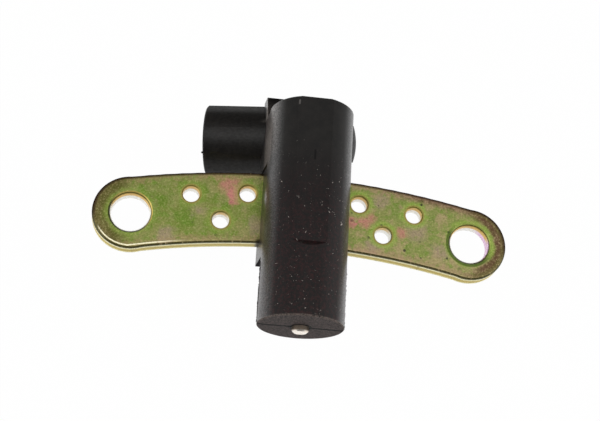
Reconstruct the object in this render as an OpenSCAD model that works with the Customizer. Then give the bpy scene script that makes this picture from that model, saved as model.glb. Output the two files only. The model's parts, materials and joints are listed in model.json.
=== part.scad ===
// Crankshaft position sensor: a black moulded body on a curved steel bracket.
// X runs along the bracket, Y along the body with the sensing tip at -Y, and
// Z stands off the mounting face, which is Z = 0. The origin lies midway
// between the two fixing holes, on the mounting face.

/* [Bracket] */
// Distance between the two fixing holes
hole_pitch = 70; // [60:1:90]
// Diameter of the fixing holes
fixing_hole_d = 8; // [6:0.1:9]
// Radius of the bracket's curved centre line
band_radius = 163; // [120:1:220]
// Width of the bracket's band
band_w = 15.2; // [13:0.1:18]
// Distance that the bracket's round ends stand out past the band's edges
end_proud = 0.1; // [0.1:0.1:2]
// Thickness of the bracket's steel
plate_t = 3; // [2:0.1:4]
// Radius rolled on the front edges by the blanking die
edge_roll = 0.5; // [0.2:0.1:1]
// Width of the chamfer round the front of each fixing hole
fixing_chamfer = 0.5; // [0.2:0.1:1]

/* [Small holes] */
// Diameter of the small staggered holes
small_hole_d = 3.4; // [2:0.1:4]
// Distance from one small hole to the next, along the centre line
small_hole_pitch = 5.7; // [5.4:0.1:6.2]
// Holes on each side of the middle one
small_holes_side = 4; // [2:1:5]
// Distance of the two rows from the centre line
small_hole_stagger = 2.9; // [2:0.1:4]
// Width of the chamfer round the front of each small hole
small_chamfer = 0.25; // [0.1:0.05:0.5]

/* [Body] */
// Diameter of the round body
body_d = 17.1; // [16:0.1:20]
// Gap between the back of the round body and the mounting face
body_back_gap = 0.6; // [0.2:0.1:3]
// Length of the body from the fixing holes to the tip face
tip_len = 22.7; // [20:0.1:40]
// Length of the body from the fixing holes to the top face
top_len = 22.9; // [22:0.1:30]
// Chamfer round both ends of the body
end_chamfer = 0.15; // [0.1:0.05:0.6]
// Depth of the flat along the front
flat_depth = 0.7; // [0.3:0.05:1]
// Distance of the flat's lower end below the fixing holes
flat_drop = 7.5; // [2:0.1:12]
// Length of the ramp that ends the flat
flat_ramp = 1.1; // [0.5:0.1:3]
// Width of the mould's parting groove across the tip face
parting_w = 0.25; // [0.1:0.05:0.5]
// Depth of the parting groove
parting_depth = 0.2; // [0.1:0.05:0.5]

/* [Back block] */
// Distance that the block's foot stands out from the body's round side
block_side = 0.3; // [0.1:0.05:2]
// Draft of the block's side walls, in degrees
block_draft = 4.6; // [1:0.1:6]
// Depth of the block's lip below the bracket's lower edge
block_lip = 4.4; // [2:0.1:8]

/* [Connector] */
// Angle of the connector to the bracket's plane, in degrees
conn_angle = 11.35; // [0:0.05:14]
// Height of the connector's axis over the mounting face, where it passes behind the body
conn_axis_z = -3; // [-4:0.1:0]
// Gap between the collar and the bracket's upper edge
collar_gap = 2.35; // [1:0.05:4]
// Outer diameter of the collar
collar_d = 15.3; // [13:0.1:17]
// Wall of the collar
collar_wall = 1.4; // [1:0.1:2]
// Reach of the collar's mouth from the middle of the body
collar_reach = 20.8; // [19:0.1:30]
// Distance that the collar runs on behind the body, past its middle
collar_root = 3; // [2:0.1:4]
// Depth of the collar's socket
socket_depth = 11.5; // [8:0.1:12.5]
// Chamfer on the collar's mouth
mouth_chamfer = 0.3; // [0.1:0.05:0.6]
// Distance that the foot of the collar's base pad stands out from the body's round side
pad_side = 0.65; // [0.4:0.05:2]
// Distance that the base pad rises above the body's top face
pad_rise = 5.4; // [3:0.1:8]
// Height of the pad's top front edge over the mounting face
pad_edge_z = 3.2; // [2:0.1:5]
// Lean of the pad's sloped front, in degrees
pad_lean = 20; // [5:1:30]
// Distance of the pad's far end past the body's axis
pad_end = 3; // [0:0.1:5]
// Radius of the round boss opposite the collar
boss_r = 3.9; // [3:0.1:5]
// Distance that the boss stands out from the body's round side
boss_proud = 2.6; // [1:0.1:3]
// Rise of the boss's domed end
boss_dome = 0.6; // [0.3:0.1:1]

/* [Terminals] */
// Distance between the two terminals
terminal_pitch = 5; // [4:0.1:5.5]
// Width of a terminal's blade
blade_w = 2.3; // [1.5:0.1:2.8]
// Thickness of the terminal strip
blade_t = 0.8; // [0.5:0.1:1]
// Length of the blade that stands in the socket
blade_len = 6.5; // [4:0.1:7]
// Length of the bevel on the blade's end
blade_bevel = 0.6; // [0.3:0.1:1]
// Width of a terminal's leg and tail
tail_w = 1.2; // [0.8:0.1:1.4]
// Depth that the tail sits in the bobbin's head
tail_depth = 1.5; // [1:0.1:2]

/* [Coil and magnet] */
// Diameter of the soft iron pole pin
pin_d = 3.4; // [2.5:0.1:4.5]
// Distance that the pole pin stands out of the tip face
pin_proud = 1.1; // [0.5:0.1:2]
// Chamfer on the pole pin's end
pin_chamfer = 0.4; // [0.1:0.05:0.6]
// Plastic between the bobbin's lower flange and the tip face
tip_wall = 2; // [1:0.1:4]
// Plastic between the bobbin's flanges and the body's round side
body_wall = 1.95; // [1.5:0.05:2.5]
// Thickness of the bobbin's lower flange
flange_t = 1.2; // [0.8:0.1:2]
// Wall of the bobbin's core tube
core_wall = 0.9; // [0.6:0.1:1.2]
// Thickness of the bobbin's head
head_t = 2.4; // [2.2:0.1:3]
// Gap between the bobbin's head and the bracket's lower edge
head_gap = 0.8; // [0.5:0.1:2]
// Depth of the winding below the flanges' rim
winding_inset = 0.6; // [0.2:0.1:1]
// Diameter of a winding's lead-out
lead_d = 0.6; // [0.3:0.05:0.8]
// Diameter of the magnet
magnet_d = 6; // [4.5:0.1:6.2]
// Length of the magnet
magnet_len = 5; // [3:0.1:8]
// Wall of the cup round the magnet
cup_wall = 0.9; // [0.6:0.1:1]

/* [Hidden] */
// Facets round a circle, round the band's wide arc and round a wire
$fn = 96;
band_fn = 360;
wire_fn = 32;

// A cut runs past the faces that it opens by this much
over = 1;

body_r = body_d / 2;
body_axis_z = body_r + body_back_gap;
band_half_angle = asin(hole_pitch / 2 / band_radius);
band_centre_y = -band_radius * cos(band_half_angle);
band_lower_y = band_centre_y + band_radius - band_w / 2;
band_upper_y = band_centre_y + band_radius + band_w / 2;
end_r = band_w / 2 + end_proud;

small_hole_step = small_hole_pitch / band_radius * 180 / PI;

front_z = body_axis_z + body_r;
flat_z = front_z - flat_depth;

block_foot = body_r + block_side;
block_low_y = band_lower_y - block_lip;

collar_r = collar_d / 2;
socket_r = collar_r - collar_wall;
socket_floor = collar_reach - socket_depth;

conn_rise = band_upper_y + collar_gap + collar_r;

block_top_y = top_len - end_chamfer;
pad_foot = body_r + pad_side;
pad_top_y = top_len + pad_rise;
pad_slope_z = pad_edge_z + (pad_top_y - block_top_y) * tan(pad_lean);

bobbin_base_y = -tip_len + tip_wall;
head_top_y = band_lower_y - head_gap;
head_low_y = head_top_y - head_t;
winding_low_y = bobbin_base_y + flange_t;
pin_r = pin_d / 2;
core_r = pin_r + core_wall;
flange_r = body_r - body_wall;
winding_r = flange_r - winding_inset;
magnet_r = magnet_d / 2;
cup_r = magnet_r + cup_wall;
cup_top_y = head_top_y + magnet_len;
tail_end_y = head_top_y - tail_depth;
// The lower terminal's tail runs down beside the magnet's cup, the upper one's behind it
lower_tail_x = -(cup_r + flange_r) / 2;
lower_tail_z = body_axis_z;
upper_tail_x = 0;
upper_tail_z = (plate_t + body_axis_z - cup_r) / 2;

// Places children on the body's axis, with their Z along it, away from the tip
module on_body_axis(y = 0) {
    translate([0, y, body_axis_z]) rotate([-90, 0, 0]) children();
}

// Places children on the connector's axis, with their X towards the collar's mouth
module on_connector_axis() {
    translate([0, conn_rise, conn_axis_z]) rotate([0, 180 - conn_angle, 0]) children();
}

// Half of a section of this half width: flat back, front edge rolled
module half_section(half_w) {
    inner_w = half_w - edge_roll;
    side_h = plate_t - edge_roll;
    square([inner_w, plate_t]);
    translate([inner_w, 0]) square([edge_roll, side_h]);
    translate([inner_w, side_h]) intersection() {
        circle(edge_roll);
        square(edge_roll);
    }
}

// A through hole with a chamfer on the front face
module chamfered_hole(d, chamfer) {
    translate([0, 0, -over]) cylinder(d = d, h = plate_t + 2 * over);
    translate([0, 0, plate_t - chamfer])
        cylinder(d1 = d, d2 = d + 2 * (chamfer + over), h = chamfer + over);
}

// The curved band with its two round ends, undrilled
module band_blank() {
    translate([0, band_centre_y, 0]) rotate([0, 0, 90 - band_half_angle])
        rotate_extrude(angle = 2 * band_half_angle, $fn = band_fn) translate([band_radius, 0]) {
            half_section(band_w / 2);
            mirror([1, 0]) half_section(band_w / 2);
        }
    for (side = [-1, 1])
        translate([side * hole_pitch / 2, 0, 0]) rotate_extrude() half_section(end_r);
}

// The small holes alternate between two rows, from the outer row in the middle
module small_hole_places() {
    for (k = [-small_holes_side : small_holes_side]) {
        row = (k % 2 == 0) ? small_hole_stagger : -small_hole_stagger;
        translate([0, band_centre_y, 0]) rotate([0, 0, -k * small_hole_step])
            translate([0, band_radius + row, 0]) children();
    }
}

module bracket_solid() {
    difference() {
        band_blank();
        for (side = [-1, 1])
            translate([side * hole_pitch / 2, 0, 0]) chamfered_hole(fixing_hole_d, fixing_chamfer);
        small_hole_places() chamfered_hole(small_hole_d, small_chamfer);
    }
}

// Round body with chamfered ends, cut flat along the front
module round_body() {
    difference() {
        on_body_axis() rotate_extrude() polygon([
            [0, -tip_len],
            [body_r - end_chamfer, -tip_len],
            [body_r, -tip_len + end_chamfer],
            [body_r, top_len - end_chamfer],
            [body_r - end_chamfer, top_len],
            [0, top_len]
        ]);
        front_flat_cut();
    }
}

// The flat runs out at the top and ends in a short ramp below
module front_flat_cut() {
    translate([-body_r, 0, 0]) rotate([90, 0, 90]) linear_extrude(2 * body_r) polygon([
        [-flat_drop, flat_z],
        [top_len + over, flat_z],
        [top_len + over, front_z + over],
        [-flat_drop - flat_ramp * (1 + over / flat_depth), front_z + over]
    ]);
}

// Block behind the round body, drafted from the mounting face to the axis plane
module back_block() {
    crown = block_foot - body_axis_z * tan(block_draft);
    translate([0, block_top_y, 0]) rotate([90, 0, 0]) linear_extrude(block_top_y - block_low_y)
        polygon([[-block_foot, 0], [block_foot, 0], [crown, body_axis_z], [-crown, body_axis_z]]);
}

// Base pad of the collar: a drafted side wall, and a front that slopes from the
// body's top face back to the pad's top edge
module collar_pad() {
    crown = pad_foot - body_axis_z * tan(block_draft);
    intersection() {
        translate([0, pad_top_y, 0]) rotate([90, 0, 0]) linear_extrude(pad_top_y - band_upper_y)
            polygon([[-pad_foot, 0], [pad_end, 0], [pad_end, body_axis_z], [-crown, body_axis_z]]);
        translate([-body_d, 0, 0]) rotate([90, 0, 90]) linear_extrude(2 * body_d) polygon([
            [band_upper_y - over, 0],
            [pad_top_y, 0],
            [pad_top_y, pad_edge_z],
            [block_top_y, pad_slope_z],
            [block_top_y, body_axis_z],
            [band_upper_y - over, body_axis_z]
        ]);
    }
}

// Round barrel of the collar, its mouth and its root chamfered
module collar_barrel() {
    on_connector_axis() rotate([0, 90, 0]) rotate_extrude() polygon([
        [0, -collar_root],
        [collar_r - end_chamfer, -collar_root],
        [collar_r, -collar_root + end_chamfer],
        [collar_r, collar_reach - mouth_chamfer],
        [collar_r - mouth_chamfer, collar_reach],
        [0, collar_reach]
    ]);
}

module socket_cut() {
    on_connector_axis() translate([socket_floor, 0, 0]) rotate([0, 90, 0])
        cylinder(r = socket_r, h = socket_depth + over);
}

// Round boss with a domed end, on the side opposite the collar
module round_boss() {
    reach = body_r + boss_proud;
    dome_r = (boss_r * boss_r + boss_dome * boss_dome) / (2 * boss_dome);
    on_connector_axis() rotate([0, -90, 0]) intersection() {
        cylinder(r = boss_r, h = reach + over);
        translate([0, 0, reach - dome_r]) sphere(dome_r);
    }
}

// Fine groove where the mould's halves part, across the tip face
module parting_groove() {
    translate([-body_r - over, -tip_len - over, body_axis_z - parting_w / 2])
        cube([body_d + 2 * over, parting_depth + over, parting_w]);
}

module housing_form() {
    round_body();
    back_block();
    collar_pad();
    collar_barrel();
    round_boss();
}

module pole_pin_solid() {
    pin_end_y = -tip_len - pin_proud;
    on_body_axis() rotate_extrude() polygon([
        [0, pin_end_y],
        [pin_r - pin_chamfer, pin_end_y],
        [pin_r, pin_end_y + pin_chamfer],
        [pin_r, head_top_y],
        [0, head_top_y]
    ]);
}

module magnet_solid() {
    on_body_axis(head_top_y) cylinder(r = magnet_r, h = magnet_len);
}

// Outside of the wound bobbin with its magnet, which the moulding closes round
module wound_bobbin_form() {
    on_body_axis() rotate_extrude() polygon([
        [0, bobbin_base_y],
        [flange_r, bobbin_base_y],
        [flange_r, winding_low_y],
        [winding_r, winding_low_y],
        [winding_r, head_low_y],
        [flange_r, head_low_y],
        [flange_r, head_top_y],
        [cup_r, head_top_y],
        [cup_r, cup_top_y],
        [0, cup_top_y]
    ]);
}

// Spool, thick head and magnet cup as one moulding, before its slots are cut
module bobbin_form() {
    on_body_axis() rotate_extrude() polygon([
        [pin_r, bobbin_base_y],
        [flange_r, bobbin_base_y],
        [flange_r, winding_low_y],
        [core_r, winding_low_y],
        [core_r, head_low_y],
        [flange_r, head_low_y],
        [flange_r, head_top_y],
        [cup_r, head_top_y],
        [cup_r, cup_top_y],
        [magnet_r, cup_top_y],
        [magnet_r, head_top_y],
        [pin_r, head_top_y]
    ]);
}

// The winding, with a lead-out under each terminal's tail
module coil_solid() {
    on_body_axis() rotate_extrude() polygon([
        [core_r, winding_low_y],
        [winding_r, winding_low_y],
        [winding_r, head_low_y],
        [core_r, head_low_y]
    ]);
    lead_outs();
}

module lead_out(tail_x, tail_z) {
    translate([tail_x, head_low_y, tail_z]) rotate([-90, 0, 0])
        cylinder(d = lead_d, h = tail_end_y - head_low_y, $fn = wire_fn);
}

module lead_outs() {
    lead_out(upper_tail_x, upper_tail_z);
    lead_out(lower_tail_x, lower_tail_z);
}

// Flat strip of a terminal in the connector's plane: a bevelled blade, level with
// the upper or the lower one of the two, and a heel where the leg stands
module terminal_blade(side, heel_x) {
    heel = -heel_x / cos(conn_angle);
    half_w = blade_w / 2;
    blade_y = side * terminal_pitch / 2;
    foot_y = -terminal_pitch / 2 - half_w;
    tip_x = socket_floor + blade_len;
    blade_end = [
        [heel - half_w, blade_y + half_w],
        [tip_x - blade_bevel, blade_y + half_w],
        [tip_x, blade_y + half_w - blade_bevel],
        [tip_x, blade_y - half_w + blade_bevel],
        [tip_x - blade_bevel, blade_y - half_w]
    ];
    turn = (side > 0) ? [[heel + half_w, blade_y - half_w], [heel + half_w, foot_y]] : [];
    on_connector_axis() translate([0, 0, -blade_t / 2]) linear_extrude(blade_t)
        polygon(concat(blade_end, turn, [[heel - half_w, foot_y]]));
}

// Leg that rises from the heel into the body, and the tail down to the bobbin's head
module terminal_leg(tail_x, tail_z) {
    leg_y = conn_rise - terminal_pitch / 2;
    heel_z = conn_axis_z + tail_x * tan(conn_angle);
    half_w = tail_w / 2;
    translate([tail_x - blade_t / 2, 0, 0]) rotate([90, 0, 90]) linear_extrude(blade_t) polygon([
        [tail_end_y, tail_z - half_w],
        [leg_y - half_w, tail_z - half_w],
        [leg_y - half_w, heel_z],
        [leg_y + half_w, heel_z],
        [leg_y + half_w, tail_z + half_w],
        [tail_end_y, tail_z + half_w]
    ]);
}

module upper_terminal_solid() {
    terminal_blade(1, upper_tail_x);
    terminal_leg(upper_tail_x, upper_tail_z);
}

module lower_terminal_solid() {
    terminal_blade(-1, lower_tail_x);
    terminal_leg(lower_tail_x, lower_tail_z);
}

module bracket() {
    color("#8a8446") bracket_solid();
}

module housing() {
    color("#26241f") difference() {
        housing_form();
        socket_cut();
        bracket_solid();
        pole_pin_solid();
        wound_bobbin_form();
        upper_terminal_solid();
        lower_terminal_solid();
        parting_groove();
    }
}

module pole_pin() {
    color("#a9a39a") pole_pin_solid();
}

module magnet() {
    color("#55565a") magnet_solid();
}

module bobbin() {
    color("#d9d2bd") difference() {
        bobbin_form();
        upper_terminal_solid();
        lower_terminal_solid();
        lead_outs();
    }
}

module coil() {
    color("#b06a35") coil_solid();
}

module terminal_upper() {
    color("#c9a85a") upper_terminal_solid();
}

module terminal_lower() {
    color("#c9a85a") lower_terminal_solid();
}

bracket();
housing();
pole_pin();
magnet();
bobbin();
coil();
terminal_upper();
terminal_lower();
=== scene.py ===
import json
import math

import bpy
from mathutils import Matrix, Vector


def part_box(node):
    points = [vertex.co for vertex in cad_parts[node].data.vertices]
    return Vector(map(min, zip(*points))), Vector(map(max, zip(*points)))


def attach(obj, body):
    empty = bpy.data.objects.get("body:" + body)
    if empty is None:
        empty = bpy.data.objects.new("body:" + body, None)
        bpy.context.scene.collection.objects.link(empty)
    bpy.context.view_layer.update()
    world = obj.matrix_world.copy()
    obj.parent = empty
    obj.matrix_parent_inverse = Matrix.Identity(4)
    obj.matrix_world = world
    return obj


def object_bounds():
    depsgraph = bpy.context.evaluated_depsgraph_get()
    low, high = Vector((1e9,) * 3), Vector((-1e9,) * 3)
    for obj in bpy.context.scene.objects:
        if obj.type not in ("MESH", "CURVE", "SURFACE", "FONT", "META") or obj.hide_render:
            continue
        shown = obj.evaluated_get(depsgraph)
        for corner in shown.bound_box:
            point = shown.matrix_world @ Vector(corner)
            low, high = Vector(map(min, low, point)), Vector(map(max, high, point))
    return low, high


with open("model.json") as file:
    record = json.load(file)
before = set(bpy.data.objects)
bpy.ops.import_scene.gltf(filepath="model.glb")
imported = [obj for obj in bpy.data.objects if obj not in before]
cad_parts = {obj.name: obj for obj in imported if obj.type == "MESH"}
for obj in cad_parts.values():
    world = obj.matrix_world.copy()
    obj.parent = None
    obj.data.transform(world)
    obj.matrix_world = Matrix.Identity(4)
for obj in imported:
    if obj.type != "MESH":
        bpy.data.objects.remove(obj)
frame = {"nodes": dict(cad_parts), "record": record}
cad_low, cad_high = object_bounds()

# Sizes are in millimetres, and pieces are made in metres
MM = 0.001

# The sensor's own sizes, on which its marks and finishes are placed
HOLE_PITCH = frame["record"]["mounts"][0]["dims"]["spacing_x_mm"]
FIXING_HOLE_R = frame["record"]["mounts"][0]["dims"]["hole_r_mm"]
BAND_RADIUS = 163.0
BAND_W = 15.2
PLATE_T = 3.0
EDGE_ROLL = 0.5
SMALL_HOLE_R = 1.7
SMALL_HOLE_PITCH = 5.7
SMALL_HOLE_STAGGER = 2.9
SMALL_HOLES_SEEN = (-4, -3, -2, 2, 3, 4)
END_R = cad_high.x / MM - HOLE_PITCH / 2
BODY_R = 8.55
AXIS_Z = sum(corner.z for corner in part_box("pole_pin")) / 2 / MM
TIP_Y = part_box("housing")[0].y / MM
PIN_END_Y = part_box("pole_pin")[0].y / MM
SOCKET_AT = Vector(frame["record"]["mounts"][2]["pos_m"]) / MM
SOCKET_AXIS = Vector(frame["record"]["mounts"][2]["axis"])
COLLAR_R = 7.65
BLOCK_LOW_Y = -8.2
TOP_Y = 22.9
PAD_FOOT = 9.2
PAD_DRAFT = math.radians(4.6)
PAD_SLOPE_Z = 5.2
FLOOR_Z = cad_low.z

# The photograph's camera
CAMERA_AT = Vector((-28.3, -90.1, 251.2))
CAMERA_LOOKS_AT = Vector((-0.76, 3.44, 3.72))
CAMERA_ROLL = math.radians(20.86)
CAMERA_LENS = 78.0
CAMERA_SENSOR = 36.0
CAMERA_NEAR = 0.01
CAMERA_FAR = 50.0


def paint(red, green, blue):
    """A colour by its screen values from 0 to 255, as the linear colour that a shader takes."""
    linear = []
    for level in (red, green, blue):
        share = level / 255
        linear.append(share / 12.92 if share <= 0.04045 else ((share + 0.055) / 1.055) ** 2.4)
    return (*linear, 1.0)


class Value:
    """A number that varies over a surface. Arithmetic on it adds Math nodes."""

    def __init__(self, nodes, socket):
        self.nodes = nodes
        self.socket = socket

    def math(self, operation, *inputs):
        return self.nodes.add("ShaderNodeMath", {"operation": operation}, dict(enumerate(inputs)))

    def __add__(self, other):
        return self.math("ADD", self, other)

    def __radd__(self, other):
        return self.math("ADD", other, self)

    def __sub__(self, other):
        return self.math("SUBTRACT", self, other)

    def __rsub__(self, other):
        return self.math("SUBTRACT", other, self)

    def __mul__(self, other):
        return self.math("MULTIPLY", self, other)

    def __rmul__(self, other):
        return self.math("MULTIPLY", other, self)

    def __truediv__(self, other):
        return self.math("DIVIDE", self, other)

    def __pow__(self, other):
        return self.math("POWER", self, other)

    def __abs__(self):
        return self.math("ABSOLUTE", self)

    def least(self, other):
        return self.math("MINIMUM", self, other)


class Nodes:
    """A node tree, with the few kinds of node that the finishes share."""

    def __init__(self, tree):
        self.tree = tree

    def add(self, kind, settings, sockets, output=0):
        """A node of this kind, its settings made first and then its sockets fed, as its output's value."""
        made = self.tree.nodes.new(kind)
        for name, setting in settings.items():
            setattr(made, name, setting)
        for name, fed in sockets.items():
            self.feed(made.inputs[name], fed)
        return Value(self, made.outputs[output])

    def feed(self, socket, fed):
        """A link into the socket for a value, or the socket's own setting for a constant."""
        if isinstance(fed, Value):
            self.tree.links.new(fed.socket, socket)
        else:
            socket.default_value = fed

    def place(self):
        """The point on the piece, in millimetres."""
        metres = self.add("ShaderNodeTexCoord", {}, {}, "Object")
        return self.add("ShaderNodeVectorMath", {"operation": "SCALE"}, {0: metres, "Scale": 1 / MM})

    def axes(self, vector):
        return [self.add("ShaderNodeSeparateXYZ", {}, {0: vector}, axis) for axis in "XYZ"]

    def stretched(self, vector, scale, shift=(0, 0, 0)):
        return self.add("ShaderNodeMapping", {}, {"Vector": vector, "Scale": scale, "Location": shift})

    def noise(self, vector, scale, detail, roughness):
        sockets = {"Vector": vector, "Scale": scale, "Detail": detail, "Roughness": roughness}
        return self.add("ShaderNodeTexNoise", {}, sockets)

    def ramp(self, value, low, high):
        """0 below low, 1 above high, and smooth between them. low may be the larger one."""
        sockets = {"Value": value, "From Min": low, "From Max": high}
        return self.add("ShaderNodeMapRange", {"interpolation_type": "SMOOTHSTEP"}, sockets)

    def blend(self, share, first, second):
        """From the first colour to the second one as share goes from 0 to 1."""
        settings = {"data_type": "RGBA", "clamp_factor": True}
        return self.add("ShaderNodeMix", settings, {0: share, 6: first, 7: second}, 2)

    def specks(self, vector, scale, size, share, dimensions="3D"):
        """Round specks of about this size in millimetres, in this share of the cells of a scattered grid."""
        cells = {"Vector": vector, "Scale": scale}
        distance = self.add("ShaderNodeTexVoronoi", {"voronoi_dimensions": dimensions}, cells, "Distance")
        colour = self.add("ShaderNodeTexVoronoi", {"voronoi_dimensions": dimensions}, cells, "Color")
        pick, spread, fade = self.axes(colour)
        radius = size / 2 * scale * (spread + 0.5)
        picked = self.ramp(pick, 1 - share, 1.001 - share)
        return self.ramp(distance / radius, 1.0, 0.5) * picked * (fade * 0.8 + 0.2)

    def bump(self, height, strength, depth):
        """A normal from a height that goes from 0 to 1, of this depth in millimetres."""
        sockets = {"Height": height, "Strength": strength, "Distance": depth * MM}
        return self.add("ShaderNodeBump", {}, sockets)


# The duller second shader of a finish
DULL_ROUGHNESS = 0.6
DULL_COAT_ROUGHNESS = 0.33


class Finish(Nodes):
    """A material with a Principled shader, and the constants that are set on its own sockets."""

    def __init__(self, name, **constants):
        self.material = bpy.data.materials.new(name)
        self.material.use_nodes = True
        super().__init__(self.material.node_tree)
        self.shader = self.tree.nodes["Principled BSDF"]
        for socket, constant in constants.items():
            self.shader.inputs[socket.replace("_", " ")].default_value = constant

    def surface(self, colour, roughness, normal, metallic=None):
        """Feed the shader what varies over the surface."""
        self.feed(self.shader.inputs["Base Color"], colour)
        self.feed(self.shader.inputs["Roughness"], roughness)
        self.feed(self.shader.inputs["Normal"], normal)
        if metallic is not None:
            self.feed(self.shader.inputs["Metallic"], metallic)
        return self.material

    def dulled(self, colour, normal, share, coat=0.0):
        """Where share is 1, a shader without gloss of its own in place of the first one, under this weight of coat."""
        dull = self.add("ShaderNodeBsdfPrincipled", {}, {
            "Base Color": colour,
            "Roughness": DULL_ROUGHNESS,
            "Normal": normal,
            "Specular IOR Level": 0.0,
            "Coat Weight": coat,
            "Coat Roughness": DULL_COAT_ROUGHNESS,
        })
        glossy = Value(self, self.shader.outputs[0])
        mixed = self.add("ShaderNodeMixShader", {}, {0: share, 1: glossy, 2: dull})
        self.feed(self.tree.nodes["Material Output"].inputs["Surface"], mixed)
        return self.material


# Colours of the bracket's chromate, and of the highlights and shade painted on it
LEAF_GREEN = paint(104, 128, 48)
GRASS_GREEN = paint(104, 138, 48)
OLIVE = paint(128, 134, 70)
STRAW = paint(170, 162, 112)
TAN = paint(172, 150, 114)
MAUVE = paint(158, 136, 116)
PINK = paint(192, 124, 118)
UPPER_STAIN = paint(84, 58, 42)
LEFT_EDGE_TAN = paint(156, 130, 98)
RIGHT_EDGE_TAN = paint(168, 134, 112)
LEFT_END_BROWN = paint(86, 76, 38)
RIGHT_END_RUST = paint(92, 60, 48)
RIGHT_RIM_BROWN = paint(88, 78, 40)
HOLE_RING_LIME = paint(140, 166, 70)
GRAIN_LIGHT = paint(206, 198, 136)
GRAIN_DARK = paint(70, 80, 28)
FLECK_BROWN = paint(46, 38, 26)
RING_SHADE_GREEN = paint(62, 84, 26)
LEFT_LIP_HIGHLIGHT = paint(232, 206, 112)
RIGHT_LIP_HIGHLIGHT = paint(190, 206, 104)
LIP_INNER_SHADE = paint(64, 58, 22)
LIP_LOWER_SHADE = paint(50, 52, 18)
SMALL_LIP_OLIVE = paint(150, 140, 66)
WORN_RIM_HIGHLIGHT = paint(255, 248, 214)
UPPER_LINE = paint(46, 28, 18)
LOWER_RIM = paint(74, 70, 24)
UPPER_RIM = paint(40, 22, 14)
WALL_GOLD = paint(206, 182, 70)
WALL_SHEARED = paint(255, 250, 200)
WALL_BACK = paint(255, 246, 176)
WALL_CLOUD = paint(206, 176, 72)
BODY_SHADE = paint(34, 28, 12)
BORE_LIT_WHITE = paint(255, 254, 248)
BORE_LILAC = paint(246, 210, 240)
BORE_GOLD = paint(232, 192, 106)

# Blooms in the bracket's chromate: along and across the bracket, and their radius
PINK_BLOOMS = [(-15.2, 7.4, 2.4), (-14.4, 5.0, 1.4), (13.0, 3.4, 1.8), (10.0, 2.6, 1.3), (20.6, 0.7, 1.2)]
MAUVE_BLOOMS = [
    (-21.3, 1.5, 1.5), (-27.5, -4.6, 2.2), (-9.6, -0.8, 1.8),
    (14.6, -2.9, 1.9), (15.9, 7.6, 1.6), (23.8, 1.6, 2.4), (28.6, -2.6, 2.0),
]
# Where changes along the bracket begin and are whole
RIGHT_HALF_X = (-24.0, 20.0)
UPPER_STAIN_X = (14.0, 24.0)
WORN_HIGHLIGHT_X = (-22.0, -31.0)
WORN_HIGHLIGHT_Y = (-3.0, -5.0)
LEFT_OF_BODY_X = (-9.7, -9.0)
RIGHT_OF_BODY_X = (9.0, 8.0)
# Heights on the blanked wall and in the holes
SHEARED_Z = (1.6, 2.0)
WALL_BACK_Z = (0.7, 0.3)
BORE_GOLD_Z = (1.3, 1.7)
BORE_GOLD_Y = (0.2, 2.0)


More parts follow.
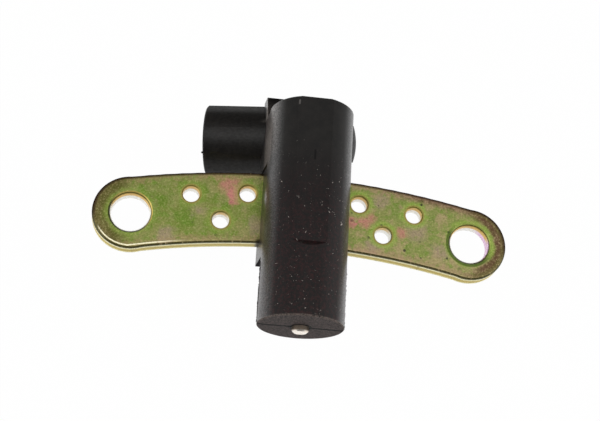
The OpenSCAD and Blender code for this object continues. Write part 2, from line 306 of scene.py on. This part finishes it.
def zinc_chromate():
    """Yellow chromate on zinc: greens with pink and mauve blooms, a dark rolled rim and gold blanked walls."""
    finish = Finish("zinc_chromate")
    point = finish.place()
    x, y, z = finish.axes(point)
    end_x = HOLE_PITCH / 2
    arc_centre_y = -math.sqrt(BAND_RADIUS ** 2 - end_x ** 2)
    above = (x * x + (y - arc_centre_y) ** 2) ** 0.5 - BAND_RADIUS
    from_hole = ((abs(x) - end_x) ** 2 + y * y) ** 0.5
    past_hole = finish.ramp(abs(x), end_x - 0.5, end_x + 0.5)
    inside = (BAND_W / 2 - abs(above)) * (1 - past_hole) + (END_R - from_hole) * past_hole
    to_fixing = from_hole - FIXING_HOLE_R
    to_hole = to_fixing
    for k in SMALL_HOLES_SEEN:
        angle = k * SMALL_HOLE_PITCH / BAND_RADIUS
        reach = BAND_RADIUS + SMALL_HOLE_STAGGER * (1 if k % 2 == 0 else -1)
        centre_x = reach * math.sin(angle)
        centre_y = arc_centre_y + reach * math.cos(angle)
        to_hole = to_hole.least(((x - centre_x) ** 2 + (y - centre_y) ** 2) ** 0.5 - SMALL_HOLE_R)

    cloud = finish.noise(point, scale=0.2, detail=4.0, roughness=0.6)
    drift = finish.noise(finish.stretched(point, (1, 1, 1), (31, 17, 5)), scale=0.35, detail=3.0, roughness=0.6)
    mottle = finish.noise(finish.stretched(point, (1, 1, 1), (7, 3, 11)), scale=1.1, detail=5.0, roughness=0.7)
    grain = finish.noise(point, scale=2.6, detail=4.0, roughness=0.8)
    right_half = finish.ramp(x, *RIGHT_HALF_X)

    # Greens and tans, the blooms, and the stains along the edge and round the ends
    colour = finish.blend(finish.ramp(cloud, 0.35, 0.65), LEAF_GREEN, OLIVE)
    colour = finish.blend(right_half * 0.3, colour, STRAW)
    colour = finish.blend(finish.ramp(mottle, 0.46, 0.64) * 0.6, colour, GRASS_GREEN)
    colour = finish.blend(finish.ramp(drift, 0.47, 0.62) * (right_half * 0.45 + 0.25), colour, TAN)
    for blooms, bloom_colour in ((MAUVE_BLOOMS, MAUVE), (PINK_BLOOMS, PINK)):
        bloom = 0.0
        for along, across, radius in blooms:
            away = ((x - along) ** 2 + (y - across) ** 2) ** 0.5 + (drift - 0.5) * 5 + (mottle - 0.5) * 3
            bloom = bloom + finish.ramp(away, radius * 1.4, radius * 0.4)
        colour = finish.blend(bloom * finish.ramp(mottle, 0.15, 0.6) * 0.85, colour, bloom_colour)
    upper_stain = finish.ramp(above, BAND_W / 2 - 2.2, BAND_W / 2 - 0.7) * finish.ramp(x, *UPPER_STAIN_X)
    colour = finish.blend(upper_stain * finish.ramp(mottle, 0.25, 0.55) * 0.9, colour, UPPER_STAIN)
    edge = finish.ramp(inside + (mottle - 0.5) * 5 + (drift - 0.5) * 3, 2.2, 0.4)
    colour = finish.blend(edge * 0.6, colour, finish.blend(right_half, LEFT_EDGE_TAN, RIGHT_EDGE_TAN))
    left_end = finish.ramp(x, -end_x + 1, -end_x - 3) * finish.ramp(inside, 3.6, 2.0)
    colour = finish.blend(left_end * finish.ramp(mottle, 0.2, 0.55) * 0.85, colour, LEFT_END_BROWN)
    right_end = finish.ramp(x, end_x - 0.5, end_x + 3) * finish.ramp(abs(to_fixing - 2.0), 1.2, 0.5)
    colour = finish.blend(right_end * finish.ramp(mottle, 0.25, 0.5) * 0.9, colour, RIGHT_END_RUST)
    right_rim = finish.ramp(x, end_x - 3, end_x + 2) * finish.ramp(inside, 1.5, 0.9)
    colour = finish.blend(right_rim * finish.ramp(mottle, 0.2, 0.5) * 0.75, colour, RIGHT_RIM_BROWN)
    ring = finish.ramp(to_hole + (drift - 0.5) * 1.6, 1.7, 0.7) * (right_half * 0.6 + 0.4)
    colour = finish.blend(ring * 0.75, colour, HOLE_RING_LIME)
    colour = finish.blend(finish.ramp(grain, 0.5, 0.7) * 0.42, colour, GRAIN_LIGHT)
    colour = finish.blend(finish.ramp(grain, 0.5, 0.3) * 0.5, colour, GRAIN_DARK)
    flecks = finish.specks(point, scale=0.36, size=0.55, share=0.4, dimensions="2D") * (right_half * 0.75 + 0.25)
    colour = finish.blend(flecks * 0.95, colour, FLECK_BROWN)

    # The holes' lips, with a painted highlight on the upper right, a dark painted line inside it and painted shade on
    # the lower left, and a ring of painted shade round the lower left of the right fixing hole
    lip = finish.ramp(to_hole, 0.55, 0.45)
    hole_x = finish.ramp(x, -1.0, 1.0) * HOLE_PITCH - end_x
    upper_right = finish.ramp((x - hole_x) * 0.7 + y, -2.0, 2.5)
    ring_shade = finish.ramp(abs(to_fixing - 0.65), 0.5, 0.25) * (1 - upper_right) * right_half
    colour = finish.blend(ring_shade * 0.8, colour, RING_SHADE_GREEN)
    lit_lip = finish.blend(right_half, LEFT_LIP_HIGHLIGHT, RIGHT_LIP_HIGHLIGHT)
    lit_lip = finish.blend(finish.ramp(to_fixing, 0.34, 0.24), lit_lip, LIP_INNER_SHADE)
    fixing_lip = finish.blend(upper_right, LIP_LOWER_SHADE, lit_lip)
    lip_colour = finish.blend(finish.ramp(to_fixing, 1.5, 1.0), SMALL_LIP_OLIVE, fixing_lip)
    colour = finish.blend(lip * 0.85, colour, lip_colour)

    # The rim rolls over dark, and a painted highlight lies on a worn line above it on the left end's lower rim
    face = finish.ramp(z, PLATE_T - 0.06, PLATE_T - 0.01)
    nicks = finish.noise(finish.stretched(point, (1.4, 0.3, 0.3)), scale=1.3, detail=3.0, roughness=0.7)
    worn_rim_highlight = finish.ramp(abs(inside - 0.58), 0.18, 0.06) * finish.ramp(x, *WORN_HIGHLIGHT_X) * finish.ramp(y, *WORN_HIGHLIGHT_Y)
    colour = finish.blend(worn_rim_highlight * finish.ramp(grain, 0.25, 0.5), colour, WORN_RIM_HIGHLIGHT)
    upper_rim = finish.ramp(above, -2.0, 2.0)
    rim = (1 - face) * finish.ramp(inside, EDGE_ROLL + 0.1, EDGE_ROLL)
    dark_line = finish.ramp(inside + (mottle - 0.5) * 0.4, 0.85, 0.55) * upper_rim
    colour = finish.blend(dark_line * 0.7, colour, UPPER_LINE)
    rim_colour = finish.blend(upper_rim, LOWER_RIM, UPPER_RIM)
    colour = finish.blend(rim * finish.ramp(nicks, 0.3, 0.46), colour, rim_colour)

    # The blanked walls, bright where they were sheared, and the walls of the holes: painted light white, lilac on the
    # right and gold at the top
    gold = finish.blend(finish.ramp(z, *SHEARED_Z), WALL_GOLD, WALL_SHEARED)
    gold = finish.blend(finish.ramp(z, *WALL_BACK_Z), gold, WALL_BACK)
    gold = finish.blend(finish.ramp(mottle, 0.45, 0.7) * 0.3, gold, WALL_CLOUD)
    off_back = finish.ramp(z, 0.0, 0.05)
    roll_end = PLATE_T - EDGE_ROLL
    colour = finish.blend(finish.ramp(z, roll_end, roll_end - 0.12) * off_back, colour, gold)
    # Painted shadow on the rim and walls beside the body
    shadow_beside_body = finish.ramp(x, *LEFT_OF_BODY_X) * finish.ramp(inside, 0.8, 0.5)
    colour = finish.blend(shadow_beside_body * finish.ramp(x, *RIGHT_OF_BODY_X) * 0.85, colour, BODY_SHADE)
    bore = finish.blend(finish.ramp(x, end_x + 1, end_x + 3), BORE_LIT_WHITE, BORE_LILAC)
    bore = finish.blend(finish.ramp(z, *BORE_GOLD_Z) * finish.ramp(y, *BORE_GOLD_Y), bore, BORE_GOLD)
    in_bore = finish.ramp(to_hole, 0.2, 0.05) * finish.ramp(z, PLATE_T - 0.1, PLATE_T - 0.3) * off_back
    colour = finish.blend(in_bore, colour, bore)

    roughness = 0.3 + mottle * 0.12 + grain * 0.1 + flecks * 0.2
    normal = finish.bump(grain * 0.7 + mottle * 0.3, strength=0.3, depth=0.03)
    metallic = 0.9 - flecks * 0.5 - lip * 0.4 - rim * 0.55
    finish.surface(colour, roughness, normal, metallic)
    return finish.dulled(colour, normal, rim * upper_rim)


# Colours of the moulding and of the dirt on it, and of the highlights and shade painted on it
COAL = paint(20, 19, 18)
SOOT = paint(30, 28, 26)
LOWER_BLACK = paint(14, 9, 9)
LOWER_BROWN = paint(44, 18, 19)
STREAK_GREY = paint(34, 31, 29)
BLOOM_GREY = paint(104, 92, 84)
DUST_WHITE = paint(236, 226, 216)
SCUFF_GREY = paint(170, 164, 160)
SCORE_BLACK = paint(4, 4, 4)
TIP_RIM_HIGHLIGHT = paint(150, 138, 128)
TIP_GRAIN = paint(96, 84, 80)
TIP_BLOTCH = paint(128, 116, 112)
GROOVE_SHADE_BLACK = paint(3, 3, 3)
CORNER_HIGHLIGHT = paint(118, 108, 102)
SHADED_BLACK = paint(8, 8, 8)
WALL_HIGHLIGHT = paint(186, 176, 168)

# Marks on the front of the body: their middle along X and Y, half width and half length
PALE_SCUFF = (-3.5, 21.6, 0.25, 0.6)
DARK_SCORE = (0.15, 10.5, 0.3, 1.3)
# Where changes over the moulding begin and are whole
LOWER_Y = (17.0, 2.0)
BROWN_Y = (14.0, -10.0)
CORNER_X = (-6.6, -8.4)
CORNER_Y = (10.0, 14.0)
WALL_HIGHLIGHT_FROM_Y = (8.0, 11.0)
WALL_HIGHLIGHT_TO_Y = (22.0, 16.0)
PARTING_LINE_HALF_W = (0.5, 0.25)
PIN_RING_R = (2.5, 1.9)
POLISHED_X = (BODY_R * 0.68, BODY_R * 0.93)


def black_moulding():
    """Satin black moulding, dusty and brown-tinted towards the tip, with a duller connector collar."""
    finish = Finish("black_moulding", IOR=1.28, Coat_IOR=1.8, Coat_Roughness=0.36)
    point = finish.place()
    x, y, z = finish.axes(point)
    from_axis = (x * x + (z - AXIS_Z) ** 2) ** 0.5
    cloud = finish.noise(point, scale=0.3, detail=5.0, roughness=0.7)
    grain = finish.noise(point, scale=3.4, detail=4.0, roughness=0.7)
    blotch = finish.noise(finish.stretched(point, (1, 1, 1), (9, 4, 2)), scale=1.6, detail=4.0, roughness=0.7)
    streak = finish.noise(finish.stretched(point, (1.6, 0.09, 1.6)), scale=1.0, detail=4.0, roughness=0.6)
    front = finish.ramp(z, AXIS_Z, AXIS_Z + 2.0)
    lower = finish.ramp(y, *LOWER_Y)

    # Black with brown patches lower down, dust specks, a pale scuff and a dark score
    colour = finish.blend(finish.ramp(cloud, 0.3, 0.7), COAL, SOOT)
    colour = finish.blend(lower * 0.9, colour, LOWER_BLACK)
    brown = finish.ramp(y, *BROWN_Y) * finish.ramp(blotch, 0.42, 0.66)
    colour = finish.blend(brown * 0.85, colour, LOWER_BROWN)
    colour = finish.blend(finish.ramp(streak, 0.52, 0.75) * 0.35, colour, STREAK_GREY)
    turned = finish.add("ShaderNodeMapping", {}, {"Vector": point, "Rotation": (0.6, 0.9, 0.4)})
    shaken = finish.add("ShaderNodeTexNoise", {}, {"Vector": point, "Scale": 0.7}, "Color")
    strewn = finish.add("ShaderNodeVectorMath", {"operation": "MULTIPLY_ADD"}, {0: shaken, 1: (5, 5, 5), 2: turned})
    coarse_dust = finish.specks(strewn, scale=0.6, size=0.32, share=0.42)
    fine_dust = finish.specks(strewn, scale=1.4, size=0.2, share=0.32)
    dust = (coarse_dust + fine_dust * 0.8) * lower * (front * 0.7 + 0.3)
    bloom = finish.ramp(grain, 0.55, 0.78) * (lower * 0.7 + 0.3)
    colour = finish.blend(bloom * 0.25, colour, BLOOM_GREY)
    colour = finish.blend(dust * 0.8, colour, DUST_WHITE)
    marks = []
    for middle_x, middle_y, half_w, half_l in (PALE_SCUFF, DARK_SCORE):
        across = finish.ramp(abs(x - middle_x), half_w, half_w * 0.4)
        along = finish.ramp(abs(y - middle_y), half_l, half_l * 0.7)
        marks.append(across * along * front)
    scuff, score = marks
    colour = finish.blend(scuff * 0.18, colour, SCUFF_GREY)
    colour = finish.blend(score * 0.8, colour, SCORE_BLACK)

    # On the tip face: a painted highlight along its rim, painted shade in the parting-line groove and a painted shadow
    # ring round the pin
    tip_face = finish.ramp(y, TIP_Y + 0.3, TIP_Y + 0.1)
    tip_rim_highlight = finish.ramp(y, TIP_Y + 0.5, TIP_Y + 0.15) * finish.ramp(from_axis, BODY_R - 0.45, BODY_R - 0.15)
    colour = finish.blend(tip_rim_highlight * finish.ramp(grain, 0.35, 0.6) * 0.4, colour, TIP_RIM_HIGHLIGHT)
    colour = finish.blend(tip_face * finish.ramp(grain, 0.4, 0.62) * 0.75, colour, TIP_GRAIN)
    colour = finish.blend(tip_face * finish.ramp(blotch, 0.44, 0.7) * 0.35, colour, TIP_BLOTCH)
    groove_and_pin_shade = finish.ramp(abs(z - AXIS_Z), *PARTING_LINE_HALF_W) + finish.ramp(from_axis, *PIN_RING_R)
    colour = finish.blend(tip_face * groove_and_pin_shade, colour, GROOVE_SHADE_BLACK)

    # A painted highlight with a dusty grain in the corner by the collar and on the pad's wall, and painted shade where
    # the block's underside and the pad's front lie in shade
    corner = finish.ramp(x, *CORNER_X) * finish.ramp(y, *CORNER_Y) * finish.ramp(z, PLATE_T, PLATE_T + 2.0)
    colour = finish.blend(corner * finish.ramp(grain, 0.35, 0.62) * 0.6, colour, CORNER_HIGHLIGHT)
    below_block = finish.ramp(y, BLOCK_LOW_Y + 0.2, BLOCK_LOW_Y + 0.1)
    off_body = finish.ramp(from_axis, BODY_R + 0.05, BODY_R + 0.15)
    underside = below_block * off_body * finish.ramp(z, AXIS_Z - 1.5, AXIS_Z - 2.0)
    off_wall = x + PAD_FOOT - z * math.tan(PAD_DRAFT)
    above_top = finish.ramp(y, TOP_Y - 0.3, TOP_Y - 0.1)
    pad_front = above_top * finish.ramp(off_wall, 0.04, 0.1) * finish.ramp(z, PAD_SLOPE_Z + 0.5, PAD_SLOPE_Z)
    shaded = (underside + pad_front).least(1.0)
    colour = finish.blend(shaded * 0.6, colour, SHADED_BLACK)
    wall = finish.ramp(off_wall, 0.06, 0.02) * finish.ramp(z, PLATE_T - 0.5, PLATE_T + 0.5)
    beside_collar = finish.ramp(y, *WALL_HIGHLIGHT_FROM_Y) * finish.ramp(y, *WALL_HIGHLIGHT_TO_Y)
    beside_collar = beside_collar * finish.ramp(z, PLATE_T + 0.5, PLATE_T + 4.0)
    wall_highlight = wall * (above_top * 0.45 + beside_collar * 0.3) * finish.ramp(grain, 0.3, 0.6)
    colour = finish.blend(wall_highlight, colour, WALL_HIGHLIGHT)

    # Satin all over, polished on the body's flanks, and dull on the collar and in the shade
    roughness = 0.3 + streak * 0.1 + grain * 0.1 + bloom * 0.15 + dust * 0.3 + tip_face * 0.3 + score * 0.3
    normal = finish.bump(grain * 0.7 + streak * 0.3 + dust * 0.5, strength=0.35, depth=0.04)
    finish.surface(colour, roughness, normal)
    polish = finish.ramp(abs(x), *POLISHED_X) * (1 - tip_face)
    polish = polish * (1 - shaded) * (0.35 + finish.ramp(grain, 0.4, 0.6) * 0.65)
    finish.feed(finish.shader.inputs["Coat Weight"], polish)
    off_axis_z = (z - SOCKET_AT.z) * -SOCKET_AXIS.x + (x - SOCKET_AT.x) * SOCKET_AXIS.z
    from_collar = (off_axis_z ** 2 + (y - SOCKET_AT.y) ** 2) ** 0.5
    on_collar = finish.ramp(from_collar, COLLAR_R + 0.2, COLLAR_R + 0.1)
    drawn = finish.noise(finish.stretched(point, (1.2, 2.6, 2.6)), scale=1.0, detail=4.0, roughness=0.7)
    shine = finish.ramp(y - SOCKET_AT.y, COLLAR_R - 0.1, COLLAR_R - 3.2)
    dull = (on_collar + shaded).least(1.0)
    coat = (0.3 + finish.ramp(drawn, 0.3, 0.7) * 0.2) * shine * (1 - underside * 0.7)
    return finish.dulled(colour, normal, dull, coat)


def soft_iron():
    """Cut and tumbled iron: a bright end with faint turning rings, and brown stain down its side."""
    finish = Finish("soft_iron", Metallic=0.9)
    point = finish.place()
    x, y, z = finish.axes(point)
    radius = (x * x + (z - AXIS_Z) ** 2) ** 0.5
    across = finish.add("ShaderNodeCombineXYZ", {}, {0: radius})
    rings = finish.noise(across, scale=6.0, detail=3.0, roughness=0.6)
    mottle = finish.noise(point, scale=1.6, detail=4.0, roughness=0.65)
    side = finish.ramp(y, PIN_END_Y + 0.1, PIN_END_Y + 0.4)
    colour = finish.blend(finish.ramp(mottle, 0.35, 0.7), paint(255, 250, 240), paint(244, 228, 212))
    colour = finish.blend(side * 0.9, colour, paint(96, 80, 64))
    roughness = 0.2 + mottle * 0.15 + side * 0.15
    normal = finish.bump(rings * 0.6 + mottle * 0.4, strength=0.3, depth=0.03)
    return finish.surface(colour, roughness, normal)


def magnet_alloy():
    """Ground magnet alloy with lines along its length."""
    finish = Finish("magnet_alloy", Metallic=0.7)
    point = finish.place()
    lines = finish.noise(finish.stretched(point, (9, 0.4, 9)), scale=1.0, detail=3.0, roughness=0.6)
    mottle = finish.noise(point, scale=1.2, detail=3.0, roughness=0.6)
    colour = finish.blend(finish.ramp(mottle, 0.3, 0.7), paint(92, 92, 96), paint(120, 118, 118))
    normal = finish.bump(lines, strength=0.3, depth=0.02)
    return finish.surface(colour, 0.4 + lines * 0.2, normal)


def bobbin_nylon():
    """Ivory nylon with faint flow clouds."""
    finish = Finish("bobbin_nylon", IOR=1.5)
    point = finish.place()
    cloud = finish.noise(point, scale=0.5, detail=3.0, roughness=0.6)
    grain = finish.noise(point, scale=6.0, detail=2.0, roughness=0.5)
    colour = finish.blend(finish.ramp(cloud, 0.3, 0.7), paint(226, 216, 188), paint(212, 200, 168))
    return finish.surface(colour, 0.45 + grain * 0.15, finish.bump(grain, strength=0.2, depth=0.02))


def copper_winding():
    """Enamelled copper wire, laid in turns side by side along the spool."""
    finish = Finish("copper_winding", Metallic=0.9)
    point = finish.place()
    laid = {"Vector": point, "Scale": 2.2, "Distortion": 0.4}
    turns = finish.add("ShaderNodeTexWave", {"bands_direction": "Y"}, laid)
    mottle = finish.noise(point, scale=0.8, detail=3.0, roughness=0.6)
    colour = finish.blend(finish.ramp(mottle, 0.3, 0.7), paint(172, 92, 48), paint(196, 112, 62))
    colour = finish.blend(turns * 0.35, paint(110, 54, 28), colour)
    return finish.surface(colour, 0.3 + mottle * 0.15, finish.bump(turns, strength=0.6, depth=0.06))


def terminal_brass():
    """Stamped brass with a thin bright tin on it, worn in streaks along the blades."""
    finish = Finish("terminal_brass", Metallic=0.95)
    point = finish.place()
    wear = finish.noise(finish.stretched(point, (0.5, 5, 5)), scale=1.0, detail=4.0, roughness=0.6)
    cloud = finish.noise(point, scale=0.7, detail=3.0, roughness=0.6)
    colour = finish.blend(finish.ramp(cloud, 0.4, 0.65), paint(214, 206, 180), paint(206, 180, 116))
    colour = finish.blend(finish.ramp(wear, 0.55, 0.75) * 0.6, colour, paint(196, 166, 96))
    return finish.surface(colour, 0.24 + wear * 0.2, finish.bump(wear, strength=0.25, depth=0.02))


FINISHES = {
    "bracket": zinc_chromate(),
    "housing": black_moulding(),
    "pole_pin": soft_iron(),
    "magnet": magnet_alloy(),
    "bobbin": bobbin_nylon(),
    "coil": copper_winding(),
    "terminal_upper": terminal_brass(),
}
FINISHES["terminal_lower"] = FINISHES["terminal_upper"]

for name, node in frame["nodes"].items():
    node.data.materials[0] = FINISHES[name]


# Flash along the body's parting line: its ends, its reach into and out of the body, its raggedness, its thickness
# and the steps along it
FLASH_FROM_Y = TIP_Y + 0.3
FLASH_TO_Y = -10.0
FLASH_INSIDE = 0.12
FLASH_PROUD = 0.12
FLASH_RAGGED = 0.1
FLASH_T = 0.06
FLASH_STEPS = 64


def parting_flash(name, side, seed):
    """A thin ragged fin on one side of the lower body, where the two halves of the mould met."""
    bpy.ops.object.select_all(action="DESELECT")
    bpy.ops.mesh.primitive_grid_add(x_subdivisions=2, y_subdivisions=FLASH_STEPS, size=1)
    fin = bpy.context.active_object
    fin.name = name
    inner = side * (BODY_R - FLASH_INSIDE)
    outer = side * (BODY_R + FLASH_PROUD)
    middle = Vector(((inner + outer) / 2, (FLASH_FROM_Y + FLASH_TO_Y) / 2, AXIS_Z))
    bpy.ops.object.mode_set(mode="EDIT")
    bpy.ops.transform.resize(value=(abs(outer - inner) * MM, (FLASH_TO_Y - FLASH_FROM_Y) * MM, 1))
    bpy.ops.transform.translate(value=middle * MM)
    bpy.ops.mesh.select_mode(type="VERT")
    bpy.ops.mesh.select_all(action="DESELECT")
    bpy.ops.object.mode_set(mode="OBJECT")
    for vertex in fin.data.vertices:
        vertex.select = vertex.co.x * side > (BODY_R + FLASH_PROUD / 2) * MM
    bpy.ops.object.mode_set(mode="EDIT")
    bpy.ops.transform.vertex_random(offset=FLASH_RAGGED * MM, seed=seed, wait_for_input=False)
    bpy.ops.object.mode_set(mode="OBJECT")
    wall = fin.modifiers.new("thickness", "SOLIDIFY")
    wall.thickness = FLASH_T * MM
    wall.offset = 0.0
    bpy.ops.object.modifier_apply(modifier=wall.name)
    fin.data.materials.append(FINISHES["housing"])
    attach(fin, "root")


# A nib of flash on the collar's mouth: its turn round the mouth, its distance from the mouth's axis, its width, how
# far it is drawn out, and what is left of its width there
NIB_TURN = math.radians(227.5)
NIB_REACH = COLLAR_R - 0.25
NIB_W = 0.34
NIB_OUT = 0.12
NIB_POINT = 0.3


def mouth_nib():
    """A small pointed nib of flash that stands out of the rim of the collar's mouth."""
    upward = Vector((0, 1, 0))
    sideward = SOCKET_AXIS.cross(upward)
    middle = SOCKET_AT + (upward * math.cos(NIB_TURN) + sideward * math.sin(NIB_TURN)) * NIB_REACH
    bpy.ops.object.select_all(action="DESELECT")
    bpy.ops.mesh.primitive_cube_add(size=NIB_W * MM)
    nib = bpy.context.active_object
    nib.name = "mouth_nib"
    bpy.ops.object.mode_set(mode="EDIT")
    bpy.ops.transform.translate(value=middle * MM)
    bpy.ops.mesh.select_mode(type="FACE")
    bpy.ops.mesh.select_all(action="DESELECT")
    bpy.ops.object.mode_set(mode="OBJECT")
    for face in nib.data.polygons:
        face.select = face.normal.x < -0.9
    bpy.ops.object.mode_set(mode="EDIT")
    bpy.ops.mesh.extrude_region_move(TRANSFORM_OT_translate={"value": (-NIB_OUT * MM, 0, 0)})
    bpy.ops.transform.resize(value=(1, NIB_POINT, NIB_POINT))
    bpy.ops.object.mode_set(mode="OBJECT")
    nib.data.materials.append(FINISHES["housing"])
    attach(nib, "root")


parting_flash("parting_flash_left", side=-1, seed=3)
parting_flash("parting_flash_right", side=1, seed=8)
mouth_nib()


# Floor, surroundings, lamps and camera

FLOOR_SIZE = 40.0
FLOOR_PALE = (0.85, 0.85, 0.85, 1)
FLOOR_ROUGHNESS = 0.9
FLOOR_WHITE = 0.985
WHITE = (1, 1, 1, 1)
# Light of the arch over the sensor, its half width, how far it falls off to the sides, and the light beside it
ARCH_LEVEL = 2.3
ARCH_WIDTH = 0.62
ARCH_FALL = 0.35
DIM_LEVEL = 0.12
# Softboxes, in metres and watts
LEFT_SOFTBOX_AT = (-0.55, -0.1, 0.22)
RIGHT_SOFTBOX_AT = (0.55, 0.0, 0.22)
SOFTBOX_SIZE = 0.45
SOFTBOX_POWER = 0.5


def white_floor():
    """A pale floor that looks white to the camera and in reflections, and keeps a faint shadow."""
    bpy.ops.object.select_all(action="DESELECT")
    bpy.ops.mesh.primitive_plane_add(size=FLOOR_SIZE, location=(0, 0, FLOOR_Z))
    floor = bpy.context.active_object
    floor.name = "floor"
    finish = Finish("white_floor", Roughness=FLOOR_ROUGHNESS, Base_Color=FLOOR_PALE)
    seen = 0.0
    for ray in ("Is Camera Ray", "Is Glossy Ray", "Is Transmission Ray"):
        seen = seen + finish.add("ShaderNodeLightPath", {}, {}, ray)
    glow = finish.add("ShaderNodeEmission", {}, {"Color": WHITE, "Strength": 1.0})
    lit = Value(finish, finish.shader.outputs[0])
    mixed = finish.add("ShaderNodeMixShader", {}, {0: seen * FLOOR_WHITE, 1: lit, 2: glow})
    finish.feed(finish.tree.nodes["Material Output"].inputs["Surface"], mixed)
    floor.data.materials.append(finish.material)


def surroundings():
    """Dim surroundings, with a soft bright arch over the sensor from one side to the other."""
    world = bpy.data.worlds.new("surroundings")
    world.use_nodes = True
    bpy.context.scene.world = world
    nodes = Nodes(world.node_tree)
    direction = nodes.add("ShaderNodeTexCoord", {}, {}, "Generated")
    sideways, lengthways = nodes.axes(direction)[:2]
    arch = nodes.ramp(abs(lengthways), ARCH_WIDTH, 0.0) * (1 - abs(sideways) * ARCH_FALL)
    background = world.node_tree.nodes["Background"]
    nodes.feed(background.inputs["Strength"], arch * (ARCH_LEVEL - DIM_LEVEL) + DIM_LEVEL)
    nodes.feed(background.inputs["Color"], WHITE)


def softbox(name, place):
    """A square lamp at this place in metres, turned to the sensor."""
    bpy.ops.object.light_add(type="AREA", location=place)
    lamp = bpy.context.active_object
    lamp.name = name
    lamp.data.size = SOFTBOX_SIZE
    lamp.data.energy = SOFTBOX_POWER
    lamp.rotation_mode = "QUATERNION"
    lamp.rotation_quaternion = (-Vector(place)).to_track_quat("-Z", "Y")


def photo_camera():
    """The camera, where the photograph's camera stood."""
    bpy.ops.object.camera_add(location=CAMERA_AT * MM)
    camera = bpy.context.active_object
    camera.data.lens = CAMERA_LENS
    camera.data.sensor_width = CAMERA_SENSOR
    camera.data.clip_start = CAMERA_NEAR
    camera.data.clip_end = CAMERA_FAR
    aim = (CAMERA_LOOKS_AT - CAMERA_AT).to_track_quat("-Z", "Y").to_matrix().to_4x4()
    camera.rotation_mode = "QUATERNION"
    camera.rotation_quaternion = (aim @ Matrix.Rotation(CAMERA_ROLL, 4, "Z")).to_quaternion()
    bpy.context.scene.camera = camera


white_floor()
surroundings()
softbox("left_softbox", LEFT_SOFTBOX_AT)
softbox("right_softbox", RIGHT_SOFTBOX_AT)
photo_camera()
bpy.context.scene.view_settings.view_transform = "Standard"
